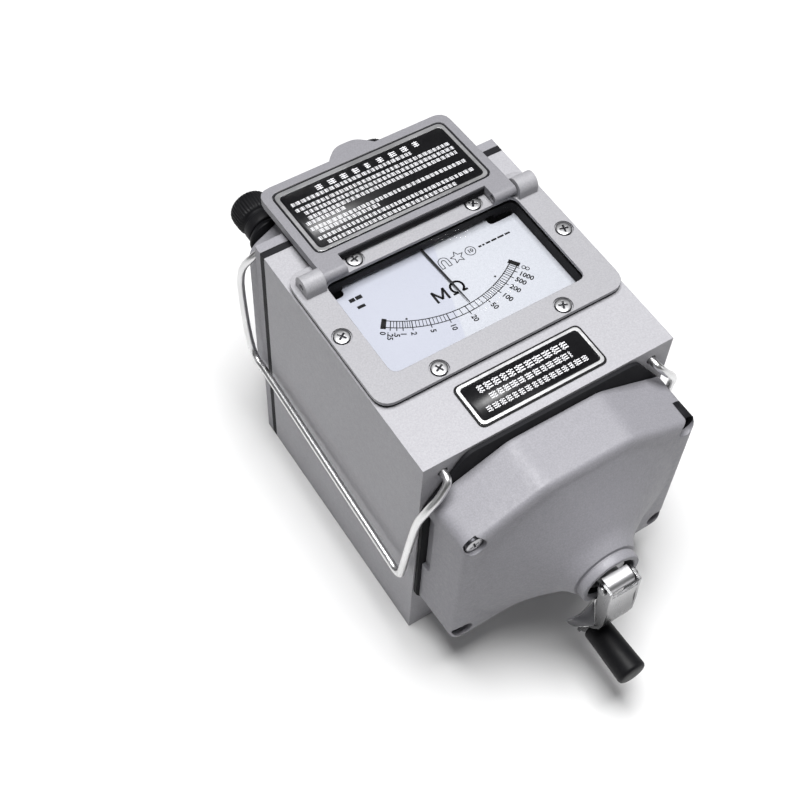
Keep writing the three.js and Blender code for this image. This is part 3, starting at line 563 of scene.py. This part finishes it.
def front_cover():
    count = 192

    def outline(inset):
        return resample(cover_outline(inset), count)

    def flat(inset, y):
        return [(p.x, y, p.y) for p in outline(inset)]

    def circle(r, y):
        out = []
        for p in outline(0):
            arm = Vector((p.x, p.y - SHAFT_Z)).normalized() * r
            out.append((arm.x, y, SHAFT_Z + arm.y))
        return out

    def crease(r, gap, y):
        """Where the dished face leaves its flat margin: round, and drawn in where the edge is near."""
        out = []
        for p in outline(4.5):
            arm = Vector((p.x, p.y - SHAFT_Z))
            arm = arm.normalized() * min(r, arm.length - gap)
            out.append((arm.x, y, SHAFT_Z + arm.y))
        return out

    def between(a, b, t, lift=0.0):
        return [tuple(Vector(p).lerp(Vector(q), t) + Vector((0, lift, 0))) for p, q in zip(a, b)]

    face = flat(4.5, -87.5)
    cone = circle(24, -100)
    rings = [flat(0, -62), flat(0.2, -68), flat(0.45, -78), flat(0.6, -84.6)]
    rings += [flat(0.85, -85.5), flat(1.5, -86.3), flat(2.4, -86.9), face]
    start = crease(48, 3.6, -88.5)
    rings += [crease(51.5, 0.8, -87.6), crease(50, 1.8, -87.85), start]
    rings += [between(start, cone, t, 0.9 * math.sin(math.pi * t)) for t in (0.2, 0.45, 0.7, 0.9)]
    rings += [cone, circle(21.6, -101.4), circle(19.4, -103.1), circle(17.6, -105), circle(16.2, -107)]
    rings += [circle(15.2, -108.4), circle(13.7, -108.7), circle(13.5, -109.1), circle(14.2, -109.5)]
    rings += [circle(14.25, -110.6), circle(14.2, -112.5)]
    rings += [circle(13.9, -113.1), circle(13.4, -113.2), circle(12.1, -113.2), circle(11.6, -112.9)]
    rings += [circle(11.5, -112), circle(11.5, -107.6), circle(11.3, -107.5)]
    rings += [circle(9.3, -107.5), circle(9.3, -106)]
    cover = loft("front_cover_skin", rings, COVER, "case")
    cutters = []
    for x, z in COVER_SCREWS:
        seat = -84.2 if (x, z) == COVER_SCREWS[0] else -76
        profile = [(0, seat), (4.6, seat), (4.6, -88), (4.9, -96), (0, -96)]
        cutters.append(lathe("cutter", profile, CASE, None, along_y(x, z), 40))
    for side in (-1, 1):
        pocket = rounded([(-67, 62), (-58, 62), (-58, 104), (-67, 104)], 2.5, 6)
        low, high = sorted((side * 55.7, side * 60))
        cutters.append(prism("cutter", pocket, low, high, CASE, None, along_x(0, 0), 0))
    bake_cuts(cover, cutters)
    add_bevel(cover, 0.25, 30)
    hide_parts("front_cover")
    profile = [(9.4, -107.7), (11.4, -107.7), (11.4, -111.2), (10.9, -111.4), (10.2, -109.4), (9.4, -109)]
    felt = lathe("crank_dust_seal", profile, RUBBER_AND_PAINTED_SHADE, "case", along_y(0, SHAFT_Z))


def cross_screw(name, node, place, r, top, seat, length):
    """Cross-slot screw with a low dome, its head at w = top; its slot and rim are painted near black as shade.
    """
    profile = [
        (0, seat - length), (1.5, seat - length), (1.7, seat - length + 0.3), (1.7, seat),
        (r - 0.1, seat), (r, seat + 0.1), (r, top - 0.42), (r - 0.3, top - 0.2),
        (r * 0.72, top - 0.04), (r * 0.4, top), (0, top),
    ]
    obj = lathe(name, profile, STEEL, "case", place, 48)
    a, b = r * 0.56, 0.42
    cross = [
        (-a, -b), (-b, -b), (-b, -a), (b, -a), (b, -b), (a, -b),
        (a, b), (b, b), (b, a), (-b, a), (-b, b), (-a, b),
    ]
    bake_cuts(obj, [prism("cutter", cross, top - 0.9, top + 1, STEEL, None, place, 0)])
    # Painted shade: the slot and the outer rim of the head get the near-black steel.
    obj.data.materials.append(DARK_STEEL_AND_SHADE)
    foot, tip = (Vector(place(0, 0, w)) * MM for w in (0, top))
    axis = (tip - foot).normalized()
    for face in obj.data.polygons:
        reach = face.center - foot
        along = reach.dot(axis)
        out = (reach - axis * along).length / MM
        depth = top - along / MM
        if out > r - 0.4 or (depth > 0.3 and out < r * 0.6):
            face.material_index = 1
    sliver = 0.01 * MM
    bm = bmesh.new()
    bm.from_mesh(obj.data)
    bmesh.ops.remove_doubles(bm, verts=bm.verts, dist=sliver)
    bmesh.ops.dissolve_degenerate(bm, edges=bm.edges, dist=sliver)
    bm.to_mesh(obj.data)
    bm.free()
    obj.data.set_sharp_from_angle(angle=math.radians(40))
    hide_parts(node)


def screws():
    for k, (x, y) in enumerate(BEZEL_SCREWS):
        turn = Matrix.Rotation(0.6 + 0.7 * k, 2)
        place = turned_place(turn, along_z(x, y))
        cross_screw(f"bezel_screw_head_{k + 1}", f"bezel_screw_{k + 1}", place,
                    r=3.55, top=138.95, seat=137.8, length=4.4)
    for k, (x, z) in enumerate(COVER_SCREWS):
        near = k == 0
        turn = Matrix.Rotation(0.3 + 0.9 * k, 2)
        place = turned_place(turn, along_front(x, z))
        top, seat, length = (85.9, 84.3, 20) if near else (78, 76.2, 12)
        cross_screw(f"cover_screw_head_{k + 1}", f"front_cover_screw_{k + 1}", place, 4.0, top, seat, length)
        if not near:
            # Painted shadow: a near-black rubber lining in the deep screw pockets stands in for the shade
            # there.
            profile = [(4.1, 76.1), (4.55, 76.1), (4.55, 84.6), (4.35, 84.6), (4.1, 79)]
            shadow_liner = lathe(f"cover_screw_painted_shadow_{k + 1}", profile, RUBBER_AND_PAINTED_SHADE, "case", along_front(x, z), 40)


def turned_place(turn, place):
    """The same placing with the piece turned about its own axis."""
    def turned(u, v, w):
        p = turn @ Vector((u, v))
        return place(p.x, p.y, w)
    return turned


# ---- Rear cover and its terminals ---------------------------------------------------------

def knob(name, node, x, z, r, end, body):
    """Ribbed terminal knob with a grooved neck and a domed end."""
    sides = 144
    ribs = 36
    rows = [
        (2.4, 86.6, 0), (r - 1.6, 86.6, 0), (r - 1.1, 86.9, 0), (r - 0.9, 87.6, 0), (r - 0.8, 90.6, 0),
        (r - 1.1, 91.3, 0), (r - 1.8, 91.7, 0), (r - 1.8, 93.2, 0), (r - 1.2, 93.6, 0.2), (r - 0.4, 94.1, 1),
        (r - 0.15, 95.4, 1), (r, end - 5.0, 1), (r - 0.15, end - 3.2, 1), (r - 0.6, end - 2.0, 0.8),
        (r - 1.5, end - 1.1, 0.2), (r - 3.4, end - 0.3, 0), (r * 0.3, end - 0.05, 0), (0, end, 0),
    ]
    verts = []
    for radius, h, rib in rows:
        for k in range(sides):
            a = 2 * math.pi * k / sides
            wave = 0.5 + 0.5 * math.cos(ribs * a)
            rr = radius - rib * 0.42 * (1 - wave) ** 1.5
            verts.append((x + rr * math.cos(a), h, z + rr * math.sin(a)))
    faces = []
    for i in range(len(rows) - 1):
        for k in range(sides):
            m = (k + 1) % sides
            faces.append((i * sides + k, i * sides + m, (i + 1) * sides + m, (i + 1) * sides + k))
    faces.append(list(range(sides)))
    obj = make_mesh(name, verts, faces, BAKELITE, body)
    add_bevel(obj, 0.12, 50)
    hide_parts(node)


def insulator(name, node, x, z, r):
    """Stepped base between a terminal's knob and the rear cover."""
    profile = [
        (2.4, 82.2), (r + 0.3, 82.2), (r + 0.6, 82.5), (r + 0.55, 83.6), (r - 0.1, 84.6), (r - 1.0, 85.6),
        (r - 1.4, 86.1), (r - 2.0, 86.2), (2.4, 86.2),
    ]
    obj = lathe(name, profile, BAKELITE, "case", along_y(x, z))
    add_bevel(obj, 0.12, 50)
    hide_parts(node)


# ---- Dial and plates ----------------------------------------------------------------------

def text_mesh(words, size, centre, direction, z, place, align):
    """Generic numerals as flat raised ink, running from centre along direction (radians)."""
    data = bpy.data.curves.new("mark", "FONT")
    data.body = words
    data.size = size
    data.align_x = align
    data.align_y = "CENTER"
    data.extrude = 0.02
    data.offset = 0.028 * size
    data.resolution_u = 3
    obj = bpy.data.objects.new("mark", data)
    COLLECTION.objects.link(obj)
    graph = bpy.context.evaluated_depsgraph_get()
    mesh = bpy.data.meshes.new_from_object(obj.evaluated_get(graph))
    bpy.data.objects.remove(obj)
    c, s = math.cos(direction), math.sin(direction)
    verts = [place(centre[0] + v.co.x * c - v.co.y * s, centre[1] + v.co.x * s + v.co.y * c, z + v.co.z + 0.02)
             for v in mesh.vertices]
    faces = [list(p.vertices) for p in mesh.polygons]
    bpy.data.meshes.remove(mesh)
    return verts, faces


class Print:
    """Flat printed marks gathered into one thin mesh."""

    def __init__(self, place=as_drawn):
        self.verts = []
        self.faces = []
        self.place = place

    def take(self, verts, faces):
        base = len(self.verts)
        self.verts += verts
        self.faces += [[base + i for i in face] for face in faces]

    def polygon(self, points, z, thick=0.03):
        count = len(points)
        verts = [self.place(p[0], p[1], w) for w in (z, z + thick) for p in points]
        faces = [list(range(count))[::-1], list(range(count, 2 * count))]
        faces += [[i, (i + 1) % count, count + (i + 1) % count, count + i] for i in range(count)]
        self.take(verts, faces)

    def line(self, a, b, width, z):
        a, b = Vector(a), Vector(b)
        side = (b - a).normalized().orthogonal() * width / 2
        self.polygon([a - side, b - side, b + side, a + side], z)

    def path(self, points, width, z, close=False):
        points = [Vector(p) for p in points]
        for a, b in zip(points, points[1:] + (points[:1] if close else [])):
            if (b - a).length > 1e-6:
                reach = (b - a).normalized() * width * 0.2
                self.line(a - reach, b + reach, width, z)

    def text(self, words, size, centre, direction, z, align="LEFT"):
        self.take(*text_mesh(words, size, centre, direction, z, self.place, align))

    def build(self, name, look, body):
        obj = make_mesh(name, self.verts, self.faces, look, body, smooth=False)
        return obj


def ray(angle, r):
    """A point on the scale: angle from the line towards the reader, positive to the right."""
    return Vector((r * math.sin(angle), METER_Y - r * math.cos(angle)))


def arc(centre, r, count):
    """A full circle as count points, the last on top of the first."""
    turns = np.linspace(0, 2 * math.pi, count)
    return [(centre[0] + r * math.cos(t), centre[1] + r * math.sin(t)) for t in turns]


def dial():
    marks = Print()
    z = SCALE_Z
    low, high = math.radians(-37.6), math.radians(35.4)
    inner, outer = 52.2, 55.6
    steps = 60
    for r in (inner, outer):
        marks.path([ray(low + (high - low) * i / steps, r) for i in range(steps + 1)], 0.42, z)
    for a in (low, high):
        block = math.radians(1.15)
        marks.polygon([ray(a - block, inner - 0.9), ray(a + block, inner - 0.9),
                       ray(a + block, outer + 0.9), ray(a - block, outer + 0.9)], z)
    majors = [-34.6, -31.9, -29.3, -25.2, -17.3, -8.9, 0.7, 10.9, 17.8, 23.2, 27.7, 31.2, 33.6]
    counts = [2, 2, 4, 5, 5, 3, 4, 6, 5, 3, 3, 2]
    for value in majors:
        marks.line(ray(math.radians(value), inner), ray(math.radians(value), outer + 1.5), 0.4, z)
    for i, parts in enumerate(counts):
        for k in range(1, parts):
            a = math.radians(majors[i] + (majors[i + 1] - majors[i]) * k / parts)
            marks.line(ray(a, inner), ray(a, outer), 0.28, z)
    numerals = ("0", ".25", ".5", "1", "2", "5", "10", "20", "50", "100", "200", "500", "1000")
    for words, value in zip(numerals, [-37.6] + majors):
        a = math.radians(value)
        marks.text(words, 3.3, ray(a, outer + 2.3), a - math.pi / 2, z)
    a = math.radians(34.9)
    for side in (-1, 1):
        centre = ray(a, outer + 3.7 + side * 0.85)
        marks.path(arc(centre, 0.8, 17), 0.36, z)
    marks.path([(-7.6, 7.6), (-7.6, 13.4), (-4.9, 8.6), (-2.2, 13.4), (-2.2, 7.6)], 1.1, z)
    ohm = [(0.2, 8.0), (2.2, 8.0)]
    bow = np.linspace(0.62, 2 * math.pi - 0.62, 25)
    ohm += [(3.5 - 2.9 * math.sin(t), 10.8 - 2.9 * math.cos(t)) for t in bow]
    ohm += [(4.8, 8.0), (6.8, 8.0)]
    marks.path(ohm, 1.05, z)
    for x, y in ((-23.5, 7.6), (20.3, 7.2)):
        marks.polygon(arc((x, y), 0.5, 13)[:-1], z)
    magnet = [(3.6, 21.6), (3.6, 24.6)]
    magnet += [(6 - 2.4 * math.cos(t), 24.6 + 2.4 * math.sin(t)) for t in np.linspace(0, math.pi, 12)]
    magnet += [(8.4, 21.6), (7.0, 21.6), (7.0, 24.6)]
    magnet += [(6 + 1.0 * math.cos(t), 24.6 + 1.0 * math.sin(t)) for t in np.linspace(0, math.pi, 8)]
    magnet += [(5.0, 21.6)]
    marks.path(magnet, 0.36, z, True)
    star = []
    for k in range(10):
        r = 3.2 if k % 2 == 0 else 1.5
        star.append((12.6 + r * math.sin(k * math.pi / 5), 24.0 + r * math.cos(k * math.pi / 5)))
    marks.path(star, 0.36, z, True)
    marks.path(arc((19.2, 24.0), 2.3, 33), 0.34, z)
    marks.text("10", 2.6, (19.2, 24.0), 0, z, "CENTER")
    for x, w in ((23.4, 1.4), (25.4, 1.0), (27.2, 2.2), (30.0, 2.6), (33.2, 3.2), (37.0, 2.6)):
        marks.line((x, 24.0), (x + w, 24.0), 0.9, z)
    for x, w in ((-38.8, 2.6), (-35.8, 3.0)):
        marks.line((x, 27.2), (x + w, 27.2), 1.9, z)
    marks.line((-37.6, 22.6), (-34.0, 22.6), 1.5, z)
    marks.build("dial_print", INK, "case")


def greek_row(marks, x0, x1, y, height, z, seed, gap):
    """A line of plain blocks of uneven width, standing for print that isn't reproduced."""
    rng = np.random.default_rng(seed)
    bars = 3
    half = height * 0.5
    stroke = height * 0.15
    x = x0
    while x < x1 - 0.6:
        width = min(height * float(rng.uniform(0.62, 1.05)), x1 - x)
        for k in range(bars):
            v = y - half + height * (k + 0.5) / bars
            marks.line((x, v), (x + width, v), stroke, z)
        post = x + width * float(rng.uniform(0.25, 0.75))
        marks.line((post, y - half), (post, y + half), stroke, z)
        x += width + gap * float(rng.uniform(0.8, 1.3))


def name_plate():
    z = TOP + 0.9
    outline = rectangle(30.5, -56, -34.5, 3)
    plate = prism("name_plate_blank", outline, TOP + 0.1, z, INK, "case", bevel=0.12)
    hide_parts("name_plate")
    rim = frame_ring("name_plate_rim", rectangle(29.7, -55.2, -35.3, 2.6), rectangle(28.4, -53.9, -36.6, 2.0),
                     z - 0.05, z + 0.06, SILVER, "case", bevel=0.03)
    face = prism("name_plate_face", rectangle(28.35, -53.85, -36.65, 2.0), z - 0.05, z + 0.03,
                 LABEL, "case", bevel=0)
    marks = Print()
    for half, y, height, seed in ((22, -40.6, 3.7, 3), (19.5, -45.4, 3.1, 5), (24, -50.0, 2.9, 8)):
        greek_row(marks, -half, half, y, height, z + 0.03, seed, 0.7)
    marks.build("name_plate_marks", WHITE_INK, "case")


def instruction_plate():
    low, high = 9.8, 49.6
    top = 2.5
    outline = rectangle(43.2, low, high, 4)
    plate = prism("instruction_plate_blank", outline, 1.6, top - 0.1, RUBBER_AND_PAINTED_SHADE, "lid", on_lid, 0.08)
    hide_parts("instruction_plate")
    rim = frame_ring("instruction_plate_rim", rectangle(42.5, low + 0.7, high - 0.7, 3.6),
                     rectangle(40.9, low + 2.3, high - 2.9, 2.6), top - 0.15, top + 0.05,
                     SILVER, "lid", on_lid, 0.04)
    face = prism("instruction_plate_face", rectangle(40.8, low + 2.4, high - 3.0, 2.6), top - 0.15, top,
                 LABEL, "lid", on_lid, 0)
    marks = Print(on_lid)
    for k in range(9):
        x = -24.5 + k * 6.1
        greek_row(marks, x, x + 3.4, 43.1, 3.2, top, 40 + k, 9)
    rows = [(39.6, -38.5, 21), (35.8, -38.5, 39), (32.7, -36, 39), (29.6, -36, 38), (26.9, -38.5, -19),
            (23.3, -38.5, 39), (20.7, -36, -7), (17.2, -38.5, 39), (13.8, -36, 27)]
    for k, (y, x0, x1) in enumerate(rows):
        greek_row(marks, x0, x1, y, 2.1, top, 60 + k, 0.5)
    marks.build("instruction_plate_marks", WHITE_INK, "lid")


def lid_dark_edge_strip():
    """Dark strip along the lid's hinge edge, in two layers with a groove between them."""
    for k, (low, high, v) in enumerate(((-1.5, -0.1, 5.55), (0.15, 1.75, 5.45))):
        outline = [(-36, v), (36, v), (36, 5.95), (-36, 5.95)]
        strip = prism(f"lid_dark_edge_strip_{k + 1}", outline, low, high, RUBBER_AND_PAINTED_SHADE, "lid", on_lid, 0.12)


# ---- Bails, crank and handle --------------------------------------------------------------

def bail(side, label):
    """Bright wire handle, from its front pivot down the side and up to its rear pivot."""
    x, z = 50.5, 127.5
    route = [
        (x, FRONT + 8, z), (x, FRONT, z), (x + 0.6, FRONT - 4, z - 0.6), (x + 4.5, FRONT - 5.8, 122),
        (60.5, FRONT - 5.5, 114.5), (63, FRONT - 3.8, 106), (64, FRONT - 1, 85), (64.8, FRONT + 2.4, 56),
        (64.9, FRONT + 3.2, 52), (64.9, FRONT + 6.5, 50.2), (64.8, FRONT + 12, 50.5),
        (62.9, REAR + 1, 55.6), (63, REAR + 8, 56), (63, REAR + 12, 59), (63, REAR + 15.5, 69),
        (63, REAR + 18, 89), (63, REAR + 18, 105),
        (62.2, REAR + 15.6, 115.5), (59.4, REAR + 12.6, 122.6), (55, REAR + 11, 126.4),
        (x + 0.8, REAR + 9.6, z - 0.2), (x, REAR + 6, z), (x, REAR - 6, z),
    ]
    points = [(side * a, b, c) for a, b, c in route]
    wire = sweep(f"bail_wire_{label}", points, 1.7, CHROME, f"bail_{label}", 10)
    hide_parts(f"carry_bail_{label}")


def handle():
    """Tapered grip of the crank, with a recess in its free end."""
    z = SHAFT_Z - 44
    base = -113.8
    end = base - 26.3
    profile = [
        (2.3, base), (5.5, base), (6.0, base - 0.3), (6.25, base - 0.9), (6.35, base - 6), (6.7, end + 6),
        (6.85, end + 2.4), (6.8, end + 1.3), (6.4, end + 0.5), (5.7, end + 0.1), (2.0, end + 0.04),
        (0.01, end + 0.02), (0.01, end + 0.4), (3.9, end + 0.4), (3.9, end + 2.6), (2.3, end + 2.6),
    ]
    grip = lathe("handle_grip", profile, BAKELITE, "handle", along_y(0, z))
    add_bevel(grip, 0.1, 50)
    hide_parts("handle_knob")


def arm_lip():
    """The flared lip where the arm's left cheek is pressed outwards above the handle."""
    root = [
        (-7.3, -114.6, 66), (-7.3, -116.0, 61), (-7.3, -117.0, 56), (-7.3, -117.8, 52),
        (-7.3, -118.0, 49.5), (-7.3, -117.8, 47.8), (-7.3, -117.3, 46.8), (-7.3, -116.6, 46.2),
    ]
    rim = [
        (-7.5, -113.6, 64.5), (-8.3, -112.6, 57.5), (-9.8, -111.2, 49), (-12.2, -109.6, 44.4),
        (-13, -108.4, 41), (-11.2, -110.6, 38.6), (-9, -113.2, 40.2), (-7.9, -115.8, 44.2),
    ]
    inner = smooth_path([Vector(p) for p in root], 6)
    outer = smooth_path([Vector(p) for p in rim], 6)
    rows = 7
    verts = []
    for k in range(rows):
        t = k / (rows - 1)
        hollow = Vector((0.5, 0.2, -1.0)) * 1.5 * math.sin(math.pi * t)
        verts += [tuple(a.lerp(b, t) + hollow) for a, b in zip(inner, outer)]
    count = len(inner)
    faces = [(k * count + i, k * count + i + 1, (k + 1) * count + i + 1, (k + 1) * count + i)
             for k in range(rows - 1) for i in range(count - 1)]
    lip = make_mesh("crank_arm_lip", verts, faces, DARK_STEEL_AND_SHADE, "crank")
    lip.data.materials.append(CHROME)
    solid = lip.modifiers.new("thickness", "SOLIDIFY")
    solid.thickness = 1.1 * MM
    solid.offset = 0
    solid.material_offset_rim = 1
    add_bevel(lip, 0.2, 50)


# ---- Everything in place ------------------------------------------------------------------

front_cover()
for label, x, z, r, end in TERMINALS:
    knob(f"{label}_knob_ribbed", f"{label}_knob", x, z, r, end, f"{label}_nut")
for label, x, z, r, _ in TERMINALS:
    insulator(f"{label}_base", f"{label}_insulator", x, z, r)
dial()
name_plate()
instruction_plate()
screws()
lid_dark_edge_strip()
bail(-1, "left")
bail(1, "right")
handle()
arm_lip()

EDGES = {
    "crank_arm": 0.3, "lid_frame": 0.3, "bezel_plate": 0.3, "case_body": 0.3, "rear_cover": 0.3,
    "front_gasket": 0.12, "rear_gasket": 0.12, "bezel_gasket": 0.12,
    "window_glass": 0, "generator_stator": 0.04,
}
for name, node in frame["nodes"].items():
    clean_edges(node, EDGES.get(name, 0.1))
OWN_LOOKS = {"crank_arm": PLATED, "crank_hinge_pin": PLATED, "rear_cover": COVER, "lid_frame": LID}
for name, look in OWN_LOOKS.items():
    frame["nodes"][name].data.materials[0] = look


# ---- Stage --------------------------------------------------------------------------------

def stage_floor():
    bpy.ops.mesh.primitive_plane_add(size=8)
    floor = bpy.context.object
    floor.name = "studio_floor"
    floor.location = (0, 0, -0.0002)
    n = Nodes("studio_floor_look")
    floor.data.materials.append(n.surface({"Base Color": (0.66, 0.66, 0.66, 1), "Roughness": 0.8}))


def area_light(name, place, aim, size, power):
    data = bpy.data.lights.new(name, "AREA")
    data.shape = "RECTANGLE"
    data.size, data.size_y = size
    data.energy = power
    obj = bpy.data.objects.new(name, data)
    obj.location = place
    obj.rotation_euler = (Vector(aim) - Vector(place)).to_track_quat("-Z", "Y").to_euler()
    COLLECTION.objects.link(obj)


def world_light():
    """Grey surroundings: pale below and above, with a dark band just over the horizon."""
    world = bpy.data.worlds.new("studio")
    SCENE.world = world
    world.use_nodes = True
    tree = world.node_tree
    tree.nodes.clear()
    output = tree.nodes.new("ShaderNodeOutputWorld")
    background = tree.nodes.new("ShaderNodeBackground")
    ramp = tree.nodes.new("ShaderNodeValToRGB")
    axes = tree.nodes.new("ShaderNodeSeparateXYZ")
    place = tree.nodes.new("ShaderNodeTexCoord")
    shift = tree.nodes.new("ShaderNodeMapRange")
    shift.inputs["From Min"].default_value = -1
    tree.links.new(place.outputs["Generated"], axes.inputs[0])
    tree.links.new(axes.outputs["Z"], shift.inputs["Value"])
    tree.links.new(shift.outputs["Result"], ramp.inputs["Fac"])
    stops = [(0.0, 0.85), (0.5, 0.55), (0.54, 0.10), (0.66, 0.20), (0.8, 0.65), (1.0, 0.9)]
    elements = ramp.color_ramp.elements
    while len(elements) < len(stops):
        elements.new(0.5)
    for element, (at, grey) in zip(elements, stops):
        element.position = at
        element.color = (grey, grey, grey * 1.02, 1)
    tree.links.new(ramp.outputs["Color"], background.inputs["Color"])
    background.inputs["Strength"].default_value = 0.3
    tree.links.new(background.outputs["Background"], output.inputs["Surface"])


def camera():
    data = bpy.data.cameras.new("camera")
    data.sensor_width = 36
    data.lens = 62.2
    data.clip_start = 0.01
    obj = bpy.data.objects.new("camera", data)
    right = Vector((0.84164, -0.53896, 0.03405)).normalized()
    forward = Vector((0.32475, 0.45474, -0.82930)).normalized()
    up = right.cross(forward)
    turn = Matrix((right, up, -forward)).transposed().to_4x4()
    obj.matrix_world = Matrix.Translation((-0.2229, -0.2705, 0.5773)) @ turn
    COLLECTION.objects.link(obj)
    SCENE.camera = obj


stage_floor()
world_light()
area_light("key", (-0.05, 0.0, 1.4), (0, 0, 0.1), (0.7, 0.7), 33)
area_light("side_fill", (-1.2, 0.1, 0.6), (0, 0, 0.1), (0.5, 0.9), 0.75)
area_light("right_kick", (1.1, -0.9, 0.5), (0.03, -0.08, 0.08), (0.4, 0.7), 2.0)
camera()
SCENE.view_settings.view_transform = "Standard"
